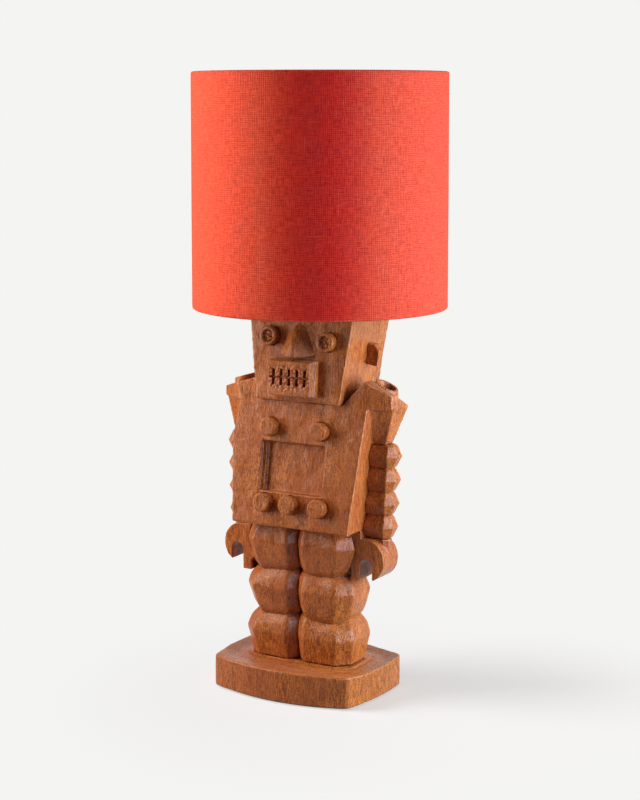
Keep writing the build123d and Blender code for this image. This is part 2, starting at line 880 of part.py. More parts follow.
with BuildPart() as holder_cap:
    with BuildSketch(Plane.XZ):
        Polygon(
            (tube_radius, cap_bottom),
            (holder_boss_radius, cap_bottom),
            (holder_radius, cap_bottom + cap_height / 2),
            (holder_radius, cap_top),
            (sleeve_bore, cap_top),
            (sleeve_bore, cap_bottom + cap_height / 2 + holder_wall),
            (holder_boss_radius, cap_bottom + holder_thread_depth),
            (tube_radius, cap_bottom + holder_thread_depth),
            align=None,
        )
    revolve(axis=Axis.Z)
    with BuildSketch(Plane.YZ):
        with Locations((0, switch_z)):
            Circle(switch_bar_radius + bar_gap)
    extrude(amount=2 * holder_radius, both=True, mode=Mode.SUBTRACT)
save(holder_cap, "holder_cap")

with BuildPart() as holder_core:
    with BuildSketch(Plane.XY.offset(core_bottom)):
        Circle(sleeve_bore - core_gap)
    extrude(amount=core_height)
    with BuildSketch(Plane.XY.offset(core_bottom)):
        with PolarLocations(screw_spread, 2):
            Circle(screw_shank_radius)
    extrude(amount=screw_shank, mode=Mode.SUBTRACT)
save(holder_core, "holder_core")

with BuildPart() as holder_sleeve:
    with BuildSketch(Plane.XY.offset(cap_top)):
        Circle(holder_radius)
    extrude(amount=sleeve_height)
    with BuildSketch(Plane.XY.offset(cap_top)):
        Circle(sleeve_flange_radius)
    extrude(amount=sleeve_flange)
    with BuildSketch(Plane.XY.offset(cap_top)):
        Circle(sleeve_bore)
    extrude(amount=sleeve_height, mode=Mode.SUBTRACT)
save(holder_sleeve, "holder_sleeve")

with BuildPart() as screw_shell:
    with BuildSketch(Plane.XY.offset(core_top)):
        Circle(shell_bore + shell_wall)
        Circle(shell_bore, mode=Mode.SUBTRACT)
    extrude(amount=shell_height)
save(screw_shell, "screw_shell")

with BuildPart() as centre_contact:
    with BuildSketch(Plane.XY.offset(core_top)):
        Rectangle(contact_length, contact_width)
    extrude(amount=contact_height / 2)
    with BuildSketch(Plane.XY.offset(core_top)):
        Circle(contact_width / 2)
    extrude(amount=contact_height)
save(centre_contact, "centre_contact")

with BuildPart() as terminal_screws:
    with BuildSketch(Plane.XY.offset(core_bottom)):
        with PolarLocations(screw_spread, 2):
            Circle(screw_shank_radius)
    extrude(amount=screw_shank)
    with BuildSketch(Plane.XY.offset(core_bottom)):
        with PolarLocations(screw_spread, 2):
            Circle(screw_head_radius)
    extrude(amount=-screw_head)
save(terminal_screws, "terminal_screws")

with BuildPart() as switch_block:
    with BuildSketch(Plane.XY.offset(core_bottom)):
        Rectangle(switch_block_length, switch_block_width)
    extrude(amount=switch_block_bottom - core_bottom)
    with BuildSketch(Plane.YZ):
        with Locations((0, switch_z)):
            Circle(switch_bar_radius + bar_gap)
    extrude(amount=switch_block_length, both=True, mode=Mode.SUBTRACT)
save(switch_block, "switch_block")

# at rest the bar stands pushed through to the robot's right
with BuildPart() as switch_bar:
    with BuildSketch(Plane.YZ.offset(-switch_travel / 2)):
        with Locations((0, switch_z)):
            Circle(switch_bar_radius)
    extrude(amount=switch_bar_half, both=True)
    for end in (-1, 1):
        with BuildSketch(Plane.YZ.offset(end * switch_bar_half - switch_travel / 2)):
            with Locations((0, switch_z)):
                Circle(switch_cap_radius)
        extrude(amount=end * switch_cap_length)
    fillet(switch_bar.edges().filter_by(GeomType.CIRCLE).group_by(Axis.X)[0], switch_cap_edge)
    fillet(switch_bar.edges().filter_by(GeomType.CIRCLE).group_by(Axis.X)[-1], switch_cap_edge)
save(switch_bar, "switch_bar")

# ---------------------------------------------------------------- shade seat

gallery_bottom = cap_top + sleeve_flange
gallery_top = gallery_bottom + gallery_thickness

with BuildPart() as shade_gallery:
    with BuildSketch(Plane.XY.offset(gallery_bottom)):
        Circle(gallery_radius)
    extrude(amount=gallery_thickness + gallery_rim)
    with BuildSketch(Plane.XY.offset(gallery_top)):
        Circle(gallery_radius - gallery_rim_wall)
    extrude(amount=gallery_rim, mode=Mode.SUBTRACT)
    with BuildSketch(Plane.XY.offset(gallery_bottom)):
        Circle(holder_radius)
    extrude(amount=gallery_thickness, mode=Mode.SUBTRACT)
save(shade_gallery, "shade_gallery")

with BuildPart() as shade_ring:
    with BuildSketch(Plane.XY.offset(gallery_top + seat_gap)):
        Circle(ring_radius)
    extrude(amount=ring_height)
    fillet(shade_ring.faces().sort_by(Axis.Z)[-1].edges(), ring_edge_radius)
    with BuildSketch(Plane.XY.offset(gallery_top)):
        Circle(holder_radius + thread_gap)
        with PolarLocations(ring_radius + ring_notch_radius / 2, ring_notches):
            Circle(ring_notch_radius)
    extrude(amount=2 * ring_height, mode=Mode.SUBTRACT)
save(shade_ring, "shade_ring")

# ---------------------------------------------------------------- shade

liner_outer = shade_radius - fabric_thickness
liner_inner = liner_outer - liner_thickness
hoop_radius = liner_inner - wire_radius
shade_top = shade_bottom + shade_height
hoop_low = shade_bottom + liner_short + wire_radius
hoop_high = shade_top - liner_short - wire_radius
seat_bottom = gallery_top + seat_gap
arm_z = gallery_top + gallery_rim + arm_gap + wire_radius

with BuildPart() as shade_fabric:
    with BuildSketch(Plane.XY.offset(shade_bottom)):
        Circle(shade_radius)
        Circle(liner_outer, mode=Mode.SUBTRACT)
    extrude(amount=shade_height)
save(shade_fabric, "shade_fabric")

with BuildPart() as shade_liner:
    with BuildSketch(Plane.XY.offset(shade_bottom + liner_short)):
        Circle(liner_outer)
        Circle(liner_inner, mode=Mode.SUBTRACT)
    extrude(amount=shade_height - 2 * liner_short)
save(shade_liner, "shade_liner")

with BuildPart() as shade_top_ring:
    with BuildSketch(Plane.XZ):
        with Locations((hoop_radius, hoop_high)):
            Circle(wire_radius)
    revolve(axis=Axis.Z)
save(shade_top_ring, "shade_top_ring")

with BuildPart() as shade_bottom_ring:
    with BuildSketch(Plane.XZ):
        with Locations((hoop_radius, hoop_low)):
            Circle(wire_radius)
    revolve(axis=Axis.Z)
save(shade_bottom_ring, "shade_bottom_ring")

with BuildPart() as shade_seat_ring:
    with BuildSketch(Plane.XY.offset(seat_bottom)):
        Circle(seat_ring_outer)
        Circle(seat_ring_inner, mode=Mode.SUBTRACT)
    extrude(amount=seat_ring_thickness)
save(shade_seat_ring, "shade_seat_ring")

with BuildPart() as shade_arms:
    for arm in range(spider_arms):
        turn = Plane.XZ.rotated((0, 0, 360 / spider_arms * arm + 90))
        with BuildLine(turn) as path:
            FilletPolyline(
                ((seat_ring_inner + seat_ring_outer) / 2, arm_z),
                (spider_elbow, arm_z),
                (hoop_radius, hoop_low),
                radius=spider_bend,
            )
        with BuildSketch(Plane(origin=path.line @ 0, z_dir=path.line % 0)):
            Circle(wire_radius)
        sweep()
    add(shade_seat_ring.part, mode=Mode.SUBTRACT)
    add(shade_bottom_ring.part, mode=Mode.SUBTRACT)
save(shade_arms, "shade_arms")

# ---------------------------------------------------------------- bulb

bulb_tip = core_top + contact_height
insulator_top = bulb_tip + bulb_insulator_height
bulb_cap_radius = shell_bore - thread_gap
glass_bottom = insulator_top + bulb_cap_height
neck_radius = bulb_cap_radius - bulb_glass_wall
equator = glass_bottom + bulb_neck + bulb_shoulder

with BuildPart() as bulb_contact:
    with BuildSketch(Plane.XZ):
        Polygon(
            (0, bulb_tip),
            (bulb_tip_radius, bulb_tip),
            (bulb_cap_radius - bulb_insulator_inset, insulator_top),
            (0, insulator_top),
            align=None,
        )
    revolve(axis=Axis.Z)
save(bulb_contact, "bulb_contact")

with BuildPart() as bulb_cap:
    with BuildSketch(Plane.XY.offset(insulator_top)):
        Circle(bulb_cap_radius)
    extrude(amount=bulb_cap_height)
save(bulb_cap, "bulb_cap")

with BuildPart() as bulb_glass:
    for wall, mode in ((0, Mode.ADD), (bulb_glass_wall, Mode.SUBTRACT)):
        widest = bulb_radius - wall
        neck = neck_radius - wall
        with BuildSketch(Plane.XZ):
            with BuildLine():
                Line((0, glass_bottom), (neck, glass_bottom))
                Line((neck, glass_bottom), (neck, glass_bottom + bulb_neck))
                Spline(
                    (neck, glass_bottom + bulb_neck),
                    (widest, equator),
                    tangents=((0, 1), (0, 1)),
                )
                CenterArc((0, equator), widest, 0, 90)
                Line((0, equator + widest), (0, glass_bottom))
            make_face()
        revolve(axis=Axis.Z, mode=mode)
save(bulb_glass, "bulb_glass")

print("bulb pitch and travel", bulb_pitch, bulb_travel, "turns", bulb_travel / bulb_pitch)
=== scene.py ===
# %% [markdown]
# # A carved wooden robot lamp
# This script dresses a finished CAD model of a table lamp. The figure is a robot carved by hand
# from reddish hardwood, and a drum shade of orange linen sits on a lampholder above its head.
# The CAD gives every size and place, so the work here is on surfaces: soft carved edges, wood
# grain, woven cloth, and the light of a product studio.

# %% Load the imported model
import json
import math

import bmesh
import bpy
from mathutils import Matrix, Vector, noise

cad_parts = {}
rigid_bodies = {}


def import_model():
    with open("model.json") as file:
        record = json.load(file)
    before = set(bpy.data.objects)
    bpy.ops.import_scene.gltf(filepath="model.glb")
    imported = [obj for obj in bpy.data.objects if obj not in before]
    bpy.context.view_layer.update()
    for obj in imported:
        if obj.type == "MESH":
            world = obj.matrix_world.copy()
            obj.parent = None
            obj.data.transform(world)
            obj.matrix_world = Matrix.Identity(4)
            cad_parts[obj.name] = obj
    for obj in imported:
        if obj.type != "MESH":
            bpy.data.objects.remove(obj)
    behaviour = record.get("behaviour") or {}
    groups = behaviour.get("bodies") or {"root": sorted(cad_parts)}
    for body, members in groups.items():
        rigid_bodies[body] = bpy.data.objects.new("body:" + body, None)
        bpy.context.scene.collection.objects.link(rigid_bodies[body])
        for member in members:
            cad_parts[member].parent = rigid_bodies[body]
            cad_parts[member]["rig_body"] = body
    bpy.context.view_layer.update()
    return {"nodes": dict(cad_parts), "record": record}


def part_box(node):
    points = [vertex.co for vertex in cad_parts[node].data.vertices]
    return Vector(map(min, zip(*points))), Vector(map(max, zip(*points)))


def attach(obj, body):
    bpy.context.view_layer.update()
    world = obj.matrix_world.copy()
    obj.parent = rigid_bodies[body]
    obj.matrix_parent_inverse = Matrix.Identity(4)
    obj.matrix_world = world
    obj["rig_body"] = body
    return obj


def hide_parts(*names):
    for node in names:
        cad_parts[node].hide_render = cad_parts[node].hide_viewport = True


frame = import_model()
nodes = frame["nodes"]
scene = bpy.context.scene
scene.view_settings.view_transform = "Standard"

# %% [markdown]
# ## Helpers for materials
# Materials are node trees. These few functions take sockets, numbers and colours alike, so that
# a pattern further down reads like a formula.

# %% Small helpers for node trees


def add_node(tree, kind, **inputs):
    """A node with some of its inputs set by name; values are numbers or colours."""
    node = tree.nodes.new(kind)
    for name, value in inputs.items():
        node.inputs[name.replace("_", " ")].default_value = value
    return node


def wire(tree, sockets, values):
    """Sets each socket to its value, or links it where the value is a socket."""
    for socket, value in zip(sockets, values):
        if value is None:
            continue
        if isinstance(value, bpy.types.NodeSocket):
            tree.links.new(value, socket)
        else:
            socket.default_value = value


def math_node(tree, operation, first, second=None, clamp=False):
    """A Math node whose inputs are sockets or numbers; gives its output."""
    node = tree.nodes.new("ShaderNodeMath")
    node.operation = operation
    node.use_clamp = clamp
    wire(tree, node.inputs, (first, second))
    return node.outputs[0]


def add_share(tree, value, part, share):
    """A value plus a share of another; gives its output."""
    return math_node(tree, "ADD", value, math_node(tree, "MULTIPLY", part, share))


def vector_node(tree, operation, first, second=None):
    """A Vector Math node; gives its vector, or its value for a dot product or a length."""
    node = tree.nodes.new("ShaderNodeVectorMath")
    node.operation = operation
    wire(tree, node.inputs, (first, second))
    return node.outputs["Value" if operation in ("DOT_PRODUCT", "LENGTH") else "Vector"]


def mix_numbers(tree, factor, first, second):
    """A Mix node for numbers; gives its output."""
    node = tree.nodes.new("ShaderNodeMix")
    wire(tree, (node.inputs[0], node.inputs[2], node.inputs[3]), (factor, first, second))
    return node.outputs[0]


def mix_colours(tree, factor, first, second):
    """A Mix node for colours; gives its output."""
    node = tree.nodes.new("ShaderNodeMix")
    node.data_type = "RGBA"
    wire(tree, (node.inputs[0], node.inputs[6], node.inputs[7]), (factor, first, second))
    return node.outputs[2]


def ramp(tree, value, start, end, low=0.0):
    """A smooth step of a value from low at start to 1 at end; gives its output."""
    node = add_node(tree, "ShaderNodeMapRange", From_Min=start, From_Max=end, To_Min=low)
    node.interpolation_type = "SMOOTHSTEP"
    tree.links.new(value, node.inputs["Value"])
    return node.outputs["Result"]


def stretched_noise(tree, vector, stretch, detail=2.0, roughness=0.5, distortion=0.0):
    """Noise on a vector that is scaled by a different amount along each axis."""
    node = add_node(
        tree,
        "ShaderNodeTexNoise",
        Scale=1.0,
        Detail=detail,
        Roughness=roughness,
        Distortion=distortion,
    )
    tree.links.new(vector_node(tree, "MULTIPLY", vector, stretch), node.inputs["Vector"])
    return node.outputs["Fac"]


def new_group(name, inputs, outputs):
    """An empty shader node group with named sockets; gives the group and its two ends."""
    group = bpy.data.node_groups.new(name, "ShaderNodeTree")
    for socket, kind, value in inputs:
        made = group.interface.new_socket(socket, in_out="INPUT", socket_type=kind)
        if value is not None:
            made.default_value = value
    for socket, kind in outputs:
        group.interface.new_socket(socket, in_out="OUTPUT", socket_type=kind)
    return group, group.nodes.new("NodeGroupInput"), group.nodes.new("NodeGroupOutput")


def new_material(name, **sockets):
    """A material with some of its shader's sockets set; gives it, its tree and its shader."""
    material = bpy.data.materials.new(name)
    material.use_nodes = True
    tree = material.node_tree
    shader = tree.nodes["Principled BSDF"]
    for socket, value in sockets.items():
        shader.inputs[socket.replace("_", " ")].default_value = value
    return material, tree, shader


def emboss(tree, shader, height, strength, distance):
    """Gives a shader the relief of a height socket, through a Bump node."""
    relief = add_node(tree, "ShaderNodeBump", Strength=strength, Distance=distance)
    tree.links.new(height, relief.inputs["Height"])
    tree.links.new(relief.outputs["Normal"], shader.inputs["Normal"])


print("helpers ready")

# %% [markdown]
# ## Camera
# A product camera stands a little to the robot's left, with a normal view of the lamp from
# 1.8 m. It tilts down by about six degrees, and a small lens shift brings the lamp back into
# the middle of the frame. A tilt alone would make the lamp's upright edges lean together.

# %% Camera
CAMERA_AZIMUTH = math.radians(30.0)
CAMERA_DISTANCE = 1.773
CAMERA_HEIGHT = 0.580
CAMERA_PITCH = 0.0995
FOCAL_PIXELS = 1823.1
IMAGE_HEIGHT = 800
SENSOR = 36.0
LENS_SHIFT = -0.15

camera_data = bpy.data.cameras.new("camera")
camera_data.sensor_width = SENSOR
camera_data.lens = SENSOR * FOCAL_PIXELS / IMAGE_HEIGHT
camera_data.shift_y = LENS_SHIFT
camera = bpy.data.objects.new("camera", camera_data)
scene.collection.objects.link(camera)
camera.location = (
    CAMERA_DISTANCE * math.sin(CAMERA_AZIMUTH),
    -CAMERA_DISTANCE * math.cos(CAMERA_AZIMUTH),
    CAMERA_HEIGHT,
)
camera.rotation_euler = (math.pi / 2 - CAMERA_PITCH, 0, CAMERA_AZIMUTH)
scene.camera = camera
print("lens:", round(camera_data.lens, 1), "mm")

# %% [markdown]
# ## Floor and background
# A studio sweep is one pale surface with no horizon. Here the world is the pale background, and
# a round floor fades into it, so only the lamp's soft shadow shows. The fade is painted for
# camera, glossy and transmission rays alone: light that bounces off the floor still sees an
# ordinary matt surface. The sweep stands behind the lamp and the studio in front of it is dimmer,
# so gloss shows the pale background on flanks and backs, and only a little of it on the front.

# %% World
BACKGROUND = (0.905, 0.905, 0.888)
AMBIENT_COLOUR = (1.0, 0.985, 0.97)
AMBIENT_LIGHT = 0.14
STUDIO_FRONT = 0.15
SWEEP_DIRECTION = (0.5, 0.87, 0.0)
SWEEP_EDGE = 0.50


def seen_directly(tree):
    """A mask that is 1 for camera, glossy and transmission rays."""
    ray = tree.nodes.new("ShaderNodeLightPath").outputs
    camera_or_gloss = math_node(tree, "MAXIMUM", ray["Is Camera Ray"], ray["Is Glossy Ray"])
    return math_node(tree, "MAXIMUM", camera_or_gloss, ray["Is Transmission Ray"])


world = bpy.data.worlds.new("studio")
scene.world = world
world.use_nodes = True
tree = world.node_tree
tree.nodes.clear()
ambient_colour = (*AMBIENT_COLOUR, 1)
ambient = add_node(tree, "ShaderNodeBackground", Color=ambient_colour, Strength=AMBIENT_LIGHT)
backdrop = add_node(tree, "ShaderNodeBackground", Color=(*BACKGROUND, 1))
direction = tree.nodes.new("ShaderNodeTexCoord").outputs["Generated"]
towards_sweep = vector_node(tree, "DOT_PRODUCT", direction, SWEEP_DIRECTION)
sweep = ramp(tree, towards_sweep, -SWEEP_EDGE, SWEEP_EDGE, STUDIO_FRONT)
glossy = tree.nodes.new("ShaderNodeLightPath").outputs["Is Glossy Ray"]
tree.links.new(mix_numbers(tree, glossy, 1.0, sweep), backdrop.inputs["Strength"])
choose = tree.nodes.new("ShaderNodeMixShader")
output = tree.nodes.new("ShaderNodeOutputWorld")
wire(tree, choose.inputs, (seen_directly(tree), ambient.outputs[0], backdrop.outputs[0]))
tree.links.new(choose.outputs[0], output.inputs["Surface"])
print("world ready")

# %% [markdown]
# ## Lights
# Two soft boxes stand close to the lamp. The left one is in front and models the face, and since
# it is close, its light falls off across the chest. The right one stands square to the side, so
# it washes the robot's left flank and the shade's side but only grazes what faces the front.
# Between them the middle of the shade falls off to a deep red. The left light is a little warm
# and the right one a little cool, like daylight from a side. Two small lamps in front of the
# right box are flagged off the shade: one fills the flank, and the other is seen by gloss alone,
# so that cut facets which face half to the right mirror it.

# %% Soft boxes
AIM = Vector((0, 0, 0.30))
WARM = (1.0, 0.955, 0.84)
COOL = (0.82, 1.0, 1.20)


def soft_box(name, azimuth, distance, height, size, brightness, colour):
    """An area lamp at an azimuth (0 is in front, 90 at the robot's left).

    Brightness is what a white card at the lamp's axis would show.
    """
    turn = math.radians(azimuth)
    place = Vector((distance * math.sin(turn), -distance * math.cos(turn), height))
    data = bpy.data.lights.new(name, "AREA")
    data.shape = "RECTANGLE"
    data.size, data.size_y = size
    data.energy = brightness * math.pi**2 * (AIM - place).length_squared
    data.color = colour
    lamp = bpy.data.objects.new(name, data)
    scene.collection.objects.link(lamp)
    lamp.location = place
    lamp.rotation_euler = (AIM - place).to_track_quat("-Z", "Y").to_euler()
    print(name, round(data.energy, 1), "W")
    return lamp


left_box = soft_box("left soft box", -57, 0.80, 0.54, (0.45, 0.90), 1.50, WARM)
right_box = soft_box("right soft box", 101, 1.0, 0.38, (0.70, 0.9), 1.50, COOL)
flank_box = soft_box("flank soft box", 86, 1.0, 0.45, (0.30, 0.8), 0.55, COOL)
glint_strip = soft_box("glint strip", 63, 0.95, 0.62, (0.26, 1.2), 0.80, COOL)
glint_strip.visible_diffuse = False


def flag(lamp, *pieces):
    """Keeps a lamp's light off some pieces, as a flag on a stand would."""
    shaded = bpy.data.collections.new("shaded from the " + lamp.name)
    for piece in pieces:
        shaded.objects.link(piece)
    for entry in shaded.collection_objects:
        entry.light_linking.link_state = "EXCLUDE"
    lamp.light_linking.receiver_collection = shaded


# %% [markdown]
# ## Floor
# The floor has to be as pale as the background and still hold a soft shadow. So what the camera
# sees is partly a matt surface and partly a glow, and the glow makes up exactly what the matt
# part lacks where no shadow falls. That needs the light that reaches each place of the floor,
# which for a small lamp is its power over the square of the distance, times the cosines at both
# ends. A large box this near gives a little less than that. Only the left box lights the floor,
# and the other lamps are flagged off it. Light that bounces off the floor sees a plain darker
# surface.

# %% Floor
FLOOR_RADIUS = 0.62
FADE_START = 0.14
FADE_END = 0.36
FADE_CENTRE = (0.07, 0.0, 0.0)
MATT_SHARE = 0.55
LARGE_BOX_LOSS = 0.88
BOUNCE_ALBEDO = 0.30


def light_on_floor(tree, place, lamp):
    """What a white floor would show at a place under one soft box, as a socket.

    Both cosines have the distance under the line, so its square becomes a fourth power.
    """
    aim = (AIM - lamp.location).normalized()
    away = vector_node(tree, "SUBTRACT", place, tuple(lamp.location))
    reach = vector_node(tree, "LENGTH", away)
    along_aim = vector_node(tree, "DOT_PRODUCT", away, tuple(aim))
    strength = lamp.data.energy * lamp.location.z / math.pi**2 * LARGE_BOX_LOSS
    return math_node(
        tree,
        "MULTIPLY",
        math_node(tree, "MULTIPLY", along_aim, strength),
        math_node(tree, "POWER", reach, -4.0),
    )


bm = bmesh.new()
bmesh.ops.create_circle(bm, cap_ends=True, segments=96, radius=FLOOR_RADIUS)
floor_mesh = bpy.data.meshes.new("floor")
bm.to_mesh(floor_mesh)
bm.free()
floor = bpy.data.objects.new("floor", floor_mesh)
scene.collection.objects.link(floor)

floor_material = bpy.data.materials.new("studio floor")
floor_material.use_nodes = True
tree = floor_material.node_tree
tree.nodes.clear()
place = tree.nodes.new("ShaderNodeTexCoord").outputs["Object"]
direct = seen_directly(tree)
distance = vector_node(tree, "LENGTH", vector_node(tree, "SUBTRACT", place, FADE_CENTRE))
near = math_node(tree, "SUBTRACT", 1.0, ramp(tree, distance, FADE_START, FADE_END))
matt_share = math_node(tree, "MULTIPLY", near, MATT_SHARE)
light = math_node(tree, "ADD", light_on_floor(tree, place, left_box), AMBIENT_LIGHT)
shown = math_node(tree, "MULTIPLY", matt_share, light)
lacking = math_node(tree, "SUBTRACT", BACKGROUND[0], shown, clamp=True)
matt = tree.nodes.new("ShaderNodeBsdfDiffuse")
albedo = mix_numbers(tree, direct, BOUNCE_ALBEDO, matt_share)
white_balance = tuple(1 / channel for channel in WARM)
balanced = vector_node(tree, "MULTIPLY", albedo, white_balance)
tree.links.new(balanced, matt.inputs["Color"])
tint = tuple(channel / BACKGROUND[0] for channel in BACKGROUND)
glow = add_node(tree, "ShaderNodeEmission", Color=(*tint, 1))
tree.links.new(math_node(tree, "MULTIPLY", lacking, direct), glow.inputs["Strength"])
both = tree.nodes.new("ShaderNodeAddShader")
output = tree.nodes.new("ShaderNodeOutputMaterial")
tree.links.new(matt.outputs[0], both.inputs[0])
tree.links.new(glow.outputs[0], both.inputs[1])
tree.links.new(both.outputs[0], output.inputs["Surface"])
floor_mesh.materials.append(floor_material)
flag(right_box, floor)
print("floor fades from", FADE_START, "to", FADE_END, "m")

# %% [markdown]
# ## Wood, as a node group
# The figure is carved from one block with its grain upright, plinth included, so the sides show
# long fibres and the flat tops show rings. A solid pattern on Object coordinates does this by
# itself: rings are cylinders round a pith that stands behind the figure, and fibres and pores
# are noise drawn out along Z. Since every piece sits at the origin, the grain runs on from one
# piece to the next.

# %% Wood grain group
PITH = (-0.045, 0.21, 0.0)
RING_PITCH = 0.0062
RING_WANDER = 0.05
RING_WEIGHT = 0.030
GRAIN_SPREAD = 0.34
RED_SHARE = 0.42
RED_WOOD = (0.36, 0.072, 0.022, 1)
PORE_SHARE = 0.55
PORE_COLOUR = (0.10, 0.024, 0.008, 1)
# convex edges are lightened towards this colour: partly wear, partly a painted highlight
WEAR_AND_HIGHLIGHT_SHARE = 0.55
WEAR_AND_HIGHLIGHT_COLOUR = (0.72, 0.33, 0.14, 1)
# painted shade: creases, hollows and closed-in places are darkened towards this colour
CREASE_SHADE_SHARE = 0.88
CREASE_SHADE_COLOUR = (0.070, 0.013, 0.003, 1)
SMOOTHEST = 0.18

wood_group, start, end = new_group(
    "upright wood grain",
    [
        ("Place", "NodeSocketVector", None),
        ("Light wood", "NodeSocketColor", (0.5, 0.2, 0.08, 1)),
        ("Dark wood", "NodeSocketColor", (0.2, 0.06, 0.02, 1)),
        ("Crease shade", "NodeSocketFloat", 0.0),
        ("Worn edge and highlight", "NodeSocketFloat", 0.0),
    ],
    [
        ("Colour", "NodeSocketColor"),
        ("Roughness", "NodeSocketFloat"),
        ("Height", "NodeSocketFloat"),
    ],
)
tree = wood_group
place = start.outputs["Place"]

wander = stretched_noise(tree, place, (9, 9, 2.2), 3.0, 0.55)
fibres = stretched_noise(tree, place, (900, 900, 130), 2.0, 0.70, 0.4)
speckle = stretched_noise(tree, place, (1150, 1150, 700), 1.0, 0.60)
streaks = stretched_noise(tree, place, (170, 170, 8), 3.0, 0.6, 0.2)
pores = stretched_noise(tree, place, (820, 820, 130), 1.0, 0.5)
mottle = stretched_noise(tree, place, (75, 75, 30), 4.0, 0.65, 0.8)
clouds = stretched_noise(tree, place, (20, 20, 9), 2.0, 0.5)

flat_place = vector_node(tree, "MULTIPLY", vector_node(tree, "SUBTRACT", place, PITH), (1, 1, 0))
from_pith = vector_node(tree, "LENGTH", flat_place)
warped = add_share(tree, from_pith, wander, RING_WANDER)
phase = math_node(tree, "MULTIPLY", warped, 2 * math.pi / RING_PITCH)
rings = math_node(tree, "SINE", phase)

grain = math_node(tree, "MULTIPLY", rings, RING_WEIGHT)
for pattern, weight in ((streaks, 0.36), (fibres, 1.35), (speckle, 1.10), (mottle, 0.28)):
    grain = add_share(tree, grain, math_node(tree, "SUBTRACT", pattern, 0.5), weight)
tone = ramp(tree, grain, -GRAIN_SPREAD, GRAIN_SPREAD)
colour = mix_colours(tree, tone, start.outputs["Dark wood"], start.outputs["Light wood"])
redder = mix_colours(tree, RED_SHARE, colour, RED_WOOD)
colour = mix_colours(tree, ramp(tree, clouds, 0.36, 0.66), redder, colour)
pore_mask = ramp(tree, pores, 0.64, 0.72)
pore = math_node(tree, "MULTIPLY", pore_mask, PORE_SHARE)
colour = mix_colours(tree, pore, colour, PORE_COLOUR)
# Convex edges are lightened, partly as wear and partly as a painted highlight.
edge = math_node(tree, "MULTIPLY", start.outputs["Worn edge and highlight"], WEAR_AND_HIGHLIGHT_SHARE, clamp=True)
colour = mix_colours(tree, edge, colour, WEAR_AND_HIGHLIGHT_COLOUR)
# Painted shade: creases, hollows and closed-in places are darkened.
crease = math_node(tree, "MULTIPLY", start.outputs["Crease shade"], CREASE_SHADE_SHARE, clamp=True)
colour = mix_colours(tree, crease, colour, CREASE_SHADE_COLOUR)
tree.links.new(colour, end.inputs["Colour"])

roughness = add_share(tree, SMOOTHEST, mottle, 0.22)
roughness = add_share(tree, roughness, pore_mask, 0.2)
tree.links.new(roughness, end.inputs["Roughness"])

height = fibres
for pattern, weight in ((speckle, 0.5), (mottle, 1.6), (pore_mask, -0.5)):
    height = add_share(tree, height, pattern, weight)
tree.links.new(height, end.inputs["Height"])
print("wood group:", len(tree.nodes), "nodes")

# %% [markdown]
# ## Waxed hardwood
# The finish is a satin wax. Its cut edges are painted lighter, partly as wear and partly as a
# painted highlight, and its creases are painted darker as painted shade. Cycles can measure
# both. Pointiness tells sharp convex edges from hollows on a dense mesh, and Ambient Occlusion
# finds the deep places between pieces.

# %% Wood material
LIGHT_WOOD = (0.66, 0.196, 0.036, 1)
DARK_WOOD = (0.185, 0.031, 0.003, 1)
# how far Ambient Occlusion reaches for the painted shade
SHADE_REACH = 0.007

figure_wood, tree, shader = new_material(
    "waxed hardwood",
    Specular_IOR_Level=0.28,
    Sheen_Weight=0.06,
    Sheen_Roughness=0.4,
    Sheen_Tint=(1.0, 0.80, 0.66, 1),
)
place = tree.nodes.new("ShaderNodeTexCoord")
pointiness = tree.nodes.new("ShaderNodeNewGeometry").outputs["Pointiness"]
occlusion = add_node(tree, "ShaderNodeAmbientOcclusion", Distance=SHADE_REACH)
occlusion.samples = 6
wood = tree.nodes.new("ShaderNodeGroup")
wood.node_tree = wood_group
wood.inputs["Light wood"].default_value = LIGHT_WOOD
wood.inputs["Dark wood"].default_value = DARK_WOOD
# Painted shade in concave and closed-in places, from Pointiness and Ambient Occlusion.
hollow = ramp(tree, pointiness, 0.49, 0.40)
occluded_shade = ramp(tree, occlusion.outputs["AO"], 0.50, 0.08)
tree.links.new(place.outputs["Object"], wood.inputs["Place"])
# sharp convex edges from Pointiness get the wear and the painted highlight
tree.links.new(ramp(tree, pointiness, 0.515, 0.60), wood.inputs["Worn edge and highlight"])
tree.links.new(math_node(tree, "MAXIMUM", hollow, occluded_shade), wood.inputs["Crease shade"])
tree.links.new(wood.outputs["Colour"], shader.inputs["Base Color"])
tree.links.new(wood.outputs["Roughness"], shader.inputs["Roughness"])
emboss(tree, shader, wood.outputs["Height"], 0.45, 0.0006)
print("wood:", figure_wood.name)

# %% [markdown]
# ## Carving the figure
# A carver's edges are never knife sharp and a carver's flats are never flat. Each wooden node
# is copied, remeshed to even small faces, smoothed until its edges are soft, and pushed in and
# out a little by noise, like the marks of a gouge that sandpaper has worn down. Bevelling the
# CAD edges would also soften them, but would leave the flats dead.

# %% Carving helper
gouge_noise = bpy.data.textures.new("gouge marks", "VORONOI")
gouge_noise.noise_scale = 0.011
gouge_noise.distance_metric = "DISTANCE"
gouge_noise.noise_intensity = 1.0
hand_noise = bpy.data.textures.new("uneven hand", "CLOUDS")
hand_noise.noise_scale = 0.028
hand_noise.noise_depth = 2
TUCK = 0.007
TUCK_TOP = 0.256
TORSO_REACH = 0.080
FAINT = 0.02


def bake_modifiers(piece):
    """Gives a piece the mesh that its modifiers make, and drops them."""
    graph = bpy.context.evaluated_depsgraph_get()
    mesh = bpy.data.meshes.new_from_object(piece.evaluated_get(graph))
    piece.modifiers.clear()
    piece.data = mesh


def tucked(co):
    """Draws the inner side of an upper arm's low end in, under the torso's skin."""
    if co.z > TUCK_TOP or abs(co.x) > TORSO_REACH:
        return co
    return Vector((co.x - math.copysign(TUCK, co.x), co.y, co.z))


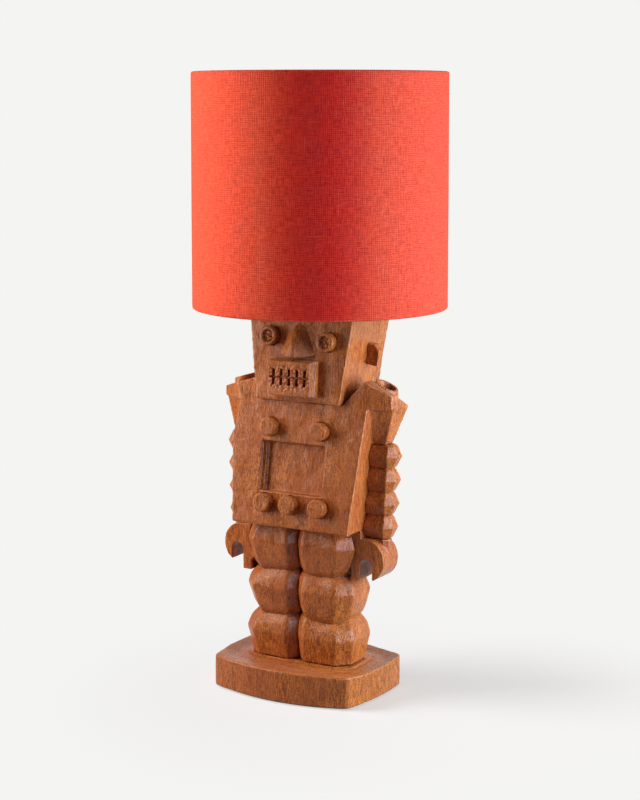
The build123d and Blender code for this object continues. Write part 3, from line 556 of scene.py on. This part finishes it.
def bell(distance, width, power=2):
    """1 at no distance and next to nothing past a width; a high power has a flat top."""
    return math.exp(-((distance / width) ** power))


def chips(co, *rates):
    """Noise at a point, at so many cells per unit along each axis, like a tool's chips."""
    return noise.noise(Vector([value * rate for value, rate in zip(co, rates)]))


def cut_in(co, axis, depth, lift=0.0):
    """Moves a point towards an upright axis through a place in X and Y, and up by a lift."""
    outward = Vector((co.x - axis[0], co.y - axis[1])).normalized()
    return Vector((co.x - outward.x * depth, co.y - outward.y * depth, co.z + lift))


def carve(node, voxel, soften, uneven=0.0009, gouge=0.0005, shape=None, joined=()):
    """A hand-carved piece in place of a CAD node. Voxel, uneven and gouge are in metres.

    Nodes named in joined share its skin, as pieces that the carver cut from one block.
    """
    bm = bmesh.new()
    for part in joined:
        bm.from_mesh(nodes[part].data)
    for vertex in bm.verts:
        vertex.co = tucked(vertex.co)
    bm.from_mesh(nodes[node].data)
    bmesh.ops.remove_doubles(bm, verts=bm.verts, dist=1e-6)
    mesh = bpy.data.meshes.new("carved_" + node)
    bm.to_mesh(mesh)
    bm.free()
    piece = bpy.data.objects.new("carved_" + node, mesh)
    scene.collection.objects.link(piece)
    remesh = piece.modifiers.new("even faces", "REMESH")
    remesh.mode = "VOXEL"
    remesh.voxel_size = voxel
    smooth = piece.modifiers.new("soft edges", "SMOOTH")
    smooth.factor = 0.5
    smooth.iterations = soften
    for texture, amount in ((hand_noise, uneven), (gouge_noise, gouge)):
        push = piece.modifiers.new(texture.name, "DISPLACE")
        push.texture = texture
        push.texture_coords = "LOCAL"
        push.strength = amount
        push.mid_level = 0.5
    bake_modifiers(piece)
    if shape:
        for vertex in piece.data.vertices:
            vertex.co = shape(vertex.co)
    piece.data.materials.clear()
    piece.data.materials.append(figure_wood)
    piece.data.shade_smooth()
    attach(piece, nodes[node]["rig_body"])
    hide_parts(node, *joined)
    print(piece.name, len(piece.data.polygons), "faces")
    return piece


# %% Plinth
BASE_TOP = 0.032
DISH_LAYER = 0.012
FEET_CENTRE = (-0.0030, -0.0130)
FEET_HALF = (0.0590, 0.0290)
FEET_CORNER = 0.013
GROOVE_DEPTH, GROOVE_WIDTH = 0.0009, 0.0022
BOWL_DEPTH, BOWL_WIDTH = 0.0026, 0.011
MARK_DEPTH, MARK_RATE, MARK_REACH = 0.00010, 1900, 0.016


def feet_distance(co):
    """How far a point of the plinth's top lies outside the two feet's common outline."""
    across = max(0.0, abs(co.x - FEET_CENTRE[0]) - FEET_HALF[0] + FEET_CORNER)
    along = max(0.0, abs(co.y - FEET_CENTRE[1]) - FEET_HALF[1] + FEET_CORNER)
    return math.hypot(across, along) - FEET_CORNER


def dish(co):
    """Sinks the plinth's top in a shallow round about the feet, in rings that the gouge left."""
    distance = feet_distance(co)
    if co.z < BASE_TOP - DISH_LAYER or distance < 0:
        return co
    groove = GROOVE_DEPTH * bell(distance, GROOVE_WIDTH)
    bowl = BOWL_DEPTH * bell(distance - BOWL_WIDTH, BOWL_WIDTH)
    marks = MARK_DEPTH * math.sin(distance * MARK_RATE) * math.exp(-distance / MARK_REACH)
    height_share = (co.z - BASE_TOP + DISH_LAYER) / DISH_LAYER
    return Vector((co.x, co.y, co.z - (groove + bowl + marks) * height_share))


carve("base_plinth", 0.0010, 3, uneven=0.0012, gouge=0.0003, shape=dish)

# %% Legs
LEG_PITCH = 0.045
LEG_PARTING = -0.004
LEG_FRONT = -0.042
LEG_WIDTH = 0.060
SHIFT_SPREAD = 0.014
CREASE_DEPTH, CREASE_WIDTH = 0.0016, 0.0042
SCORE_DEPTH, SCORE_WIDTH = 0.0013, 0.0010
# each crease as its own dips below the even pitch, at the inner side, middle and outer side
CREASE_DIPS = {
    ("left", 1): (-0.0022, 0.0044, -0.0012),
    ("left", 2): (0.0019, 0.0038, 0.0006),
    ("right", 1): (0.0004, 0.0026, 0.0008),
    ("right", 2): (0.0011, 0.0030, 0.0052),
}


def crease_shift(co, side, waist):
    """How far a leg's crease lies above the even pitch at a place; only the front wanders.

    Across the leg it is a parabola through the three dips.
    """
    across = max(0.0, min(1.0, abs(co.x - LEG_PARTING) / LEG_WIDTH))
    inner, middle, outer = CREASE_DIPS[side, waist]
    dip = inner * (1 - across) * (1 - 2 * across) + outer * across * (2 * across - 1)
    dip += middle * 4 * across * (1 - across)
    front = max(0.0, min(1.0, co.y / LEG_FRONT))
    return -dip * front * front * (3 - 2 * front)


def score_creases(side):
    """Moves each waist to its crease's height, and cuts a groove and a fine score along it."""
    middle = LEG_PARTING + LEG_WIDTH / 2 * (1 if side == "left" else -1)

    def shape(co):
        shift = 0.0
        depth = 0.0
        for waist in (1, 2):
            rise = co.z - BASE_TOP - waist * LEG_PITCH
            shift += crease_shift(co, side, waist) * bell(rise, SHIFT_SPREAD)
            depth += CREASE_DEPTH * bell(rise, CREASE_WIDTH)
            depth += SCORE_DEPTH * bell(rise, SCORE_WIDTH)
        return cut_in(co, (middle, FEET_CENTRE[1]), depth, shift)

    return shape


for side in ("right", "left"):
    carve(side + "_leg", 0.0009, 26, uneven=0.0022, gouge=0.0003, shape=score_creases(side))

# %% Torso
TORSO_FRONT = -0.044
BAND_CENTRE = (-0.003, 0.1885)
BAND_HALF = (0.050, 0.0105)
BAND_SINK, BAND_CHIPS = 0.0005, 0.0004


def rough_band(co):
    """A slightly sunk field round the lower knobs, where the gouge worked across the grain."""
    if co.y > TORSO_FRONT:
        return co
    inside = bell(co.x - BAND_CENTRE[0], BAND_HALF[0], 8)
    inside *= bell(co.z - BAND_CENTRE[1], BAND_HALF[1], 6)
    if inside < FAINT:
        return co
    sink = BAND_SINK + BAND_CHIPS * chips(co, 380, 300, 380)
    return Vector((co.x, co.y + inside * sink, co.z))


upper_arms = ("left_upper_arm", "right_upper_arm")
carve("torso", 0.00098, 2, uneven=0.0013, gouge=0.0004, shape=rough_band, joined=upper_arms)

# %% Arms and hands
BELLOWS = 4
VALLEY_DEPTH, VALLEY_WIDTH = 0.0010, 0.0011


def score_bellows(node):
    """Cuts a fine score along each valley of a forearm, and one round its upper end."""
    low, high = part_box(node)
    middle = (low + high) / 2
    pitch = (high.z - low.z) / BELLOWS

    def shape(co):
        from_valley = (high.z - co.z) / pitch
        rise = (from_valley - round(from_valley)) * pitch
        return cut_in(co, middle, VALLEY_DEPTH * bell(rise, VALLEY_WIDTH))

    return shape


for side in ("left", "right"):
    forearm = side + "_forearm"
    carve(forearm, 0.00075, 1, uneven=0.0009, gouge=0.0003, shape=score_bellows(forearm))
    carve(side + "_hand", 0.0008, 3, uneven=0.0010)
    carve(side + "_shoulder_collar", 0.0005, 3, uneven=0.0007, gouge=0.0002)

# %% Head
carve("head", 0.0012, 3, uneven=0.0013, gouge=0.0006)

# %% Face
EAR_WAIST = 0.80
NOSE_BOW, NOSE_ROUND, NOSE_SWELL = 0.0035, 0.0040, 0.0022
WELL_RADIUS, WELL_DEPTH = 0.0062, 0.005
TEETH_MIDDLE = -0.006
TEETH_HALF = (0.0255, 0.0115)
TEETH_LAYER = 0.002
TEETH_SINK, TEETH_CHIPS = 0.0008, 0.0010
WELL_SINK, WELL_CHIPS = 0.0010, 0.0016


def waist_of(node):
    """Draws an ear block in at mid height, so that its front and back are hollow."""
    low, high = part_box(node)
    middle = (low + high) / 2
    half = (high - low) / 2

    def pinch(co):
        rise = (co.z - middle.z) / half.z
        keep = EAR_WAIST + (1 - EAR_WAIST) * min(1.0, rise * rise)
        return Vector((co.x, middle.y + (co.y - middle.y) * keep, co.z))

    return pinch


def arched(node):
    """Rounds the nose's top, and bows its lower edge down at the ridge."""
    low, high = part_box(node)
    middle = (low.x + high.x) / 2
    half = (high.x - low.x) / 2

    def bow(co):
        rise = (co.z - low.z) / (high.z - low.z)
        off = min(1.0, abs(co.x - middle) / (half * (1 - 0.5 * rise)))
        lift = NOSE_BOW * (off * off - 0.6) * (1 - rise) - NOSE_ROUND * off * off * rise
        swell = NOSE_SWELL * math.sin(math.pi * rise) * (1 - off)
        return Vector((co.x, co.y - swell, co.z + lift))

    return bow


def rough_well(node):
    """Leaves the tool's chips in the well of an eye."""
    low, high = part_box(node)
    middle = (low + high) / 2

    def chip(co):
        reach = math.hypot(co.x - middle.x, co.z - middle.z)
        if reach > WELL_RADIUS or co.y > low.y + WELL_DEPTH:
            return co
        sink = WELL_SINK + WELL_CHIPS * chips(co, 600, 100, 600)
        return Vector((co.x, co.y + sink, co.z))

    return chip


def rough_teeth(co):
    """Sinks the field round the teeth a little, and leaves the tool's chips on it."""
    low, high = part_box("mouth")
    middle = (low + high) / 2
    inside = bell(co.x - TEETH_MIDDLE, TEETH_HALF[0], 8)
    inside *= bell(co.z - middle.z, TEETH_HALF[1], 6)
    if inside < FAINT or co.y > middle.y + TEETH_LAYER:
        return co
    sink = TEETH_SINK + TEETH_CHIPS * chips(co, 420, 100, 420)
    return Vector((co.x, co.y + inside * sink, co.z))


carve("nose", 0.00055, 4, uneven=0.0006, gouge=0.0002, shape=arched("nose"))
carve("mouth", 0.00045, 2, uneven=0.0007, gouge=0.0004, shape=rough_teeth)
for side in ("left", "right"):
    eye, ear = side + "_eye", side + "_ear"
    carve(eye, 0.0005, 3, uneven=0.0006, gouge=0.0002, shape=rough_well(eye))
    carve(ear, 0.0006, 2, uneven=0.0006, gouge=0.0002, shape=waist_of(ear))

# %% Chest knobs
for spot in ("top_right", "top_left", "low_right", "low_middle", "low_left"):
    carve("chest_knob_" + spot, 0.0006, 4, uneven=0.0008, gouge=0.0003)

# %% [markdown]
# ## Shade cloth
# The cover is plain woven linen, laminated to a stiff liner and rolled round a wire at each end.
# A spun profile makes the drum with its rolled hems. The weave follows the cloth, so it needs
# UVs in metres: U round the drum and V up it. Threads in two directions come from noise drawn
# out along each, with slubs where a thread is thick.

# %% Cloth group
cloth_group, start, end = new_group(
    "plain weave",
    [("Place", "NodeSocketVector", None), ("Thread pitch", "NodeSocketFloat", 0.0019)],
    [("Thread", "NodeSocketFloat"), ("Slub", "NodeSocketFloat"), ("Height", "NodeSocketFloat")],
)
tree = cloth_group
place = start.outputs["Place"]
split = tree.nodes.new("ShaderNodeSeparateXYZ")
tree.links.new(place, split.inputs[0])
turns = math_node(tree, "DIVIDE", 2 * math.pi, start.outputs["Thread pitch"])
wobble = math_node(tree, "MULTIPLY", stretched_noise(tree, place, (120, 120, 1), 3.0), 3.0)
warp = math_node(tree, "SINE", add_share(tree, wobble, split.outputs[0], turns))
weft = math_node(tree, "SINE", add_share(tree, wobble, split.outputs[1], turns))
weave = math_node(tree, "MULTIPLY", math_node(tree, "ADD", warp, weft), 0.25)
along = stretched_noise(tree, place, (110, 900, 1), 2.0, 0.6)
upright = stretched_noise(tree, place, (900, 110, 1), 2.0, 0.6)
slub_along = stretched_noise(tree, place, (34, 520, 1), 1.0, 0.5)
slub_upright = stretched_noise(tree, place, (520, 34, 1), 1.0, 0.5)
lint = stretched_noise(tree, place, (420, 420, 1), 1.0, 0.5)
threads = math_node(tree, "MULTIPLY", math_node(tree, "ADD", along, upright), 0.5)
threads = add_share(tree, threads, weave, 0.16)
slubs = math_node(tree, "MAXIMUM", slub_along, slub_upright)
slub = math_node(tree, "MAXIMUM", ramp(tree, slubs, 0.64, 0.80), ramp(tree, lint, 0.72, 0.80))
tree.links.new(threads, end.inputs["Thread"])
tree.links.new(slub, end.inputs["Slub"])
height = add_share(tree, math_node(tree, "ADD", weave, threads), slub, 0.5)
tree.links.new(height, end.inputs["Height"])
print("cloth group:", len(tree.nodes), "nodes")

# %% Linen material
# painted shade where the cloth faces the camera, and painted sheen where it turns away
FACING_SHADE_DYE = (0.92, 0.001, 0.001, 1)
GRAZING_SHEEN_DYE = (1.0, 0.088, 0.030, 1)
SHADED_THREAD = (0.50, 0.001, 0.001, 1)
LIT_THREAD = (1.0, 0.16, 0.08, 1)
SLUB_COLOUR = (1.0, 0.22, 0.12, 1)

linen, tree, shader = new_material(
    "orange red linen",
    Roughness=0.80,
    Specular_IOR_Level=0.32,
    Sheen_Weight=0.18,
    Sheen_Roughness=0.45,
    Sheen_Tint=(1.0, 0.62, 0.45, 1),
)
uv = tree.nodes.new("ShaderNodeUVMap")
uv.uv_map = "cloth"
cloth = tree.nodes.new("ShaderNodeGroup")
cloth.node_tree = cloth_group
tree.links.new(uv.outputs["UV"], cloth.inputs["Place"])
# Painted shade and painted sheen: the linen is painted deep red where it faces the camera and
# brighter where it turns away, so the drum's middle looks shaded from every view.
facing = add_node(tree, "ShaderNodeLayerWeight", Blend=0.5)
painted_sheen_share = ramp(tree, facing.outputs["Facing"], -0.01, 0.13)
dye_and_painted_shade = mix_colours(tree, painted_sheen_share, FACING_SHADE_DYE, GRAZING_SHEEN_DYE)
# Painted shade in the gaps of the weave and a painted highlight on the threads.
shaded = mix_colours(tree, 0.62, dye_and_painted_shade, SHADED_THREAD)
bright = mix_colours(tree, 0.16, dye_and_painted_shade, LIT_THREAD)
dyed = mix_colours(tree, ramp(tree, cloth.outputs["Thread"], 0.36, 0.62), shaded, bright)
slub_share = math_node(tree, "MULTIPLY", cloth.outputs["Slub"], 0.20)
dyed = mix_colours(tree, slub_share, dyed, SLUB_COLOUR)
tree.links.new(dyed, shader.inputs["Base Color"])
emboss(tree, shader, cloth.outputs["Height"], 0.55, 0.0005)
print("linen ready")

# %% Drum of cloth
HEM = 0.0090
CLOTH = 0.0005
WRAP = 0.0019
SEGMENTS = 240
PUCKER = 0.0011
PUCKER_RATES = (2.5, 2.5, 14)
HEIGHT_STEPS = 40
ROLL_STEPS = 6
cover_low, cover_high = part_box("shade_fabric")
drum = cover_high.x
bottom, top = cover_low.z, cover_high.z


def spin_profile(points):
    """A bmesh made by turning a profile of (radius, height) points round the lamp's axis."""
    bm = bmesh.new()
    corners = [bm.verts.new((r, 0, z)) for r, z in points]
    edges = [bm.edges.new(pair) for pair in zip(corners, corners[1:])]
    bmesh.ops.spin(
        bm,
        geom=corners + edges,
        cent=(0, 0, 0),
        axis=(0, 0, 1),
        angle=2 * math.pi,
        steps=SEGMENTS,
        use_merge=True,
    )
    bmesh.ops.remove_doubles(bm, verts=bm.verts, dist=1e-7)
    bmesh.ops.recalc_face_normals(bm, faces=bm.faces)
    return bm


def arc(centre, radius, start, end):
    """Points on an arc of a profile, between two angles in degrees."""
    turn = math.radians(end - start) / ROLL_STEPS
    angles = [math.radians(start) + turn * i for i in range(ROLL_STEPS + 1)]
    return [(centre[0] + radius * math.cos(a), centre[1] + radius * math.sin(a)) for a in angles]


straight = (top - bottom - 2 * WRAP) / HEIGHT_STEPS
outer_side = [(drum, bottom + WRAP + straight * i) for i in range(HEIGHT_STEPS + 1)]
top_roll = arc((drum - WRAP, top - WRAP), WRAP, 0, 180)[1:]
low_roll = arc((drum - WRAP, bottom + WRAP), WRAP, 180, 360)[:-1]
inner_top = [(drum - 2 * WRAP, top - HEM)]
inner_low = [(drum - 2 * WRAP, bottom + HEM)]
outline = inner_low + low_roll + outer_side + top_roll + inner_top

bm = spin_profile(outline)
uv_layer = bm.loops.layers.uv.new("cloth")
for face in bm.faces:
    centre = face.calc_center_median()
    centre_angle = math.atan2(centre.y, centre.x)
    for loop in face.loops:
        angle = math.atan2(loop.vert.co.y, loop.vert.co.x)
        if angle - centre_angle > math.pi:
            angle -= 2 * math.pi
        elif centre_angle - angle > math.pi:
            angle += 2 * math.pi
        loop[uv_layer].uv = (angle * drum, loop.vert.co.z)
for vertex in bm.verts:
    angle = math.atan2(vertex.co.y, vertex.co.x)
    wave = chips((math.cos(angle), math.sin(angle), vertex.co.z), *PUCKER_RATES)
    shrink = 1 - PUCKER * (1 + wave)
    vertex.co.x *= shrink
    vertex.co.y *= shrink
mesh = bpy.data.meshes.new("linen_cover")
bm.to_mesh(mesh)
bm.free()
mesh.materials.append(linen)
mesh.shade_smooth()
cover = bpy.data.objects.new("linen_cover", mesh)
scene.collection.objects.link(cover)
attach(cover, "shade")
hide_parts("shade_fabric")
print(cover.name, len(mesh.polygons), "faces")
wall = cover.modifiers.new("cloth thickness", "SOLIDIFY")
wall.thickness = CLOTH
wall.offset = -1
wall.use_even_offset = True
bake_modifiers(cover)
for lamp in (flank_box, glint_strip):
    flag(lamp, floor, cover)

# %% Liner material and other finishes


def plain_material(
    name, colour, roughness, metallic=0.0, grain=300.0, variation=0.12, bump=0.1, **sockets
):
    """A finish with fine uneven colour, roughness and relief, for metal and plastic."""
    material, tree, shader = new_material(name, Metallic=metallic, **sockets)
    place = tree.nodes.new("ShaderNodeTexCoord").outputs["Object"]
    cloud = stretched_noise(tree, place, (grain, grain, grain), 3.0)
    broad = stretched_noise(tree, place, (40, 40, 40), 2.0)
    darker = (*(channel * (1 - variation) for channel in colour[:3]), 1)
    tree.links.new(mix_colours(tree, broad, darker, colour), shader.inputs["Base Color"])
    rough = add_share(tree, roughness - 0.08, cloud, 0.16)
    tree.links.new(rough, shader.inputs["Roughness"])
    emboss(tree, shader, cloud, bump, 0.0004)
    return material


finishes = {
    "white_liner": plain_material("white liner film", (0.86, 0.84, 0.80, 1), 0.6, grain=900),
    "white_metal": plain_material("white coated wire", (0.82, 0.82, 0.80, 1), 0.4, grain=500),
    "black_plastic": plain_material("black moulded plastic", (0.022, 0.021, 0.020, 1), 0.42),
    "ivory_plastic": plain_material("glazed ceramic", (0.72, 0.69, 0.60, 1), 0.22),
    "zinc_steel": plain_material("zinc plated steel", (0.62, 0.63, 0.64, 1), 0.32, 1.0, 700),
    "contact_brass": plain_material("contact brass", (0.72, 0.50, 0.20, 1), 0.28, 1.0, 700),
    "bulb_cap_metal": plain_material("pressed aluminium", (0.78, 0.78, 0.77, 1), 0.28, 1.0, 800),
    "felt": plain_material("dark felt", (0.045, 0.045, 0.045, 1), 0.95, grain=2200, bump=0.7),
    "dowel_beech": plain_material("beech dowel", (0.62, 0.42, 0.24, 1), 0.6, grain=800),
    "opal_glass": plain_material(
        "opal bulb glass",
        (0.90, 0.89, 0.86, 1),
        0.22,
        variation=0.03,
        bump=0.03,
        Coat_Weight=0.6,
        Subsurface_Weight=0.2,
    ),
}
print("finishes:", len(finishes))

# %% Finishes on the CAD nodes that stay
for entry in frame["record"]["subparts"]:
    node = nodes[entry["node"]]
    material = finishes.get(entry["material_slot"])
    if material and not node.hide_render:
        node.data.materials.clear()
        node.data.materials.append(material)
print("dressed the plain nodes")
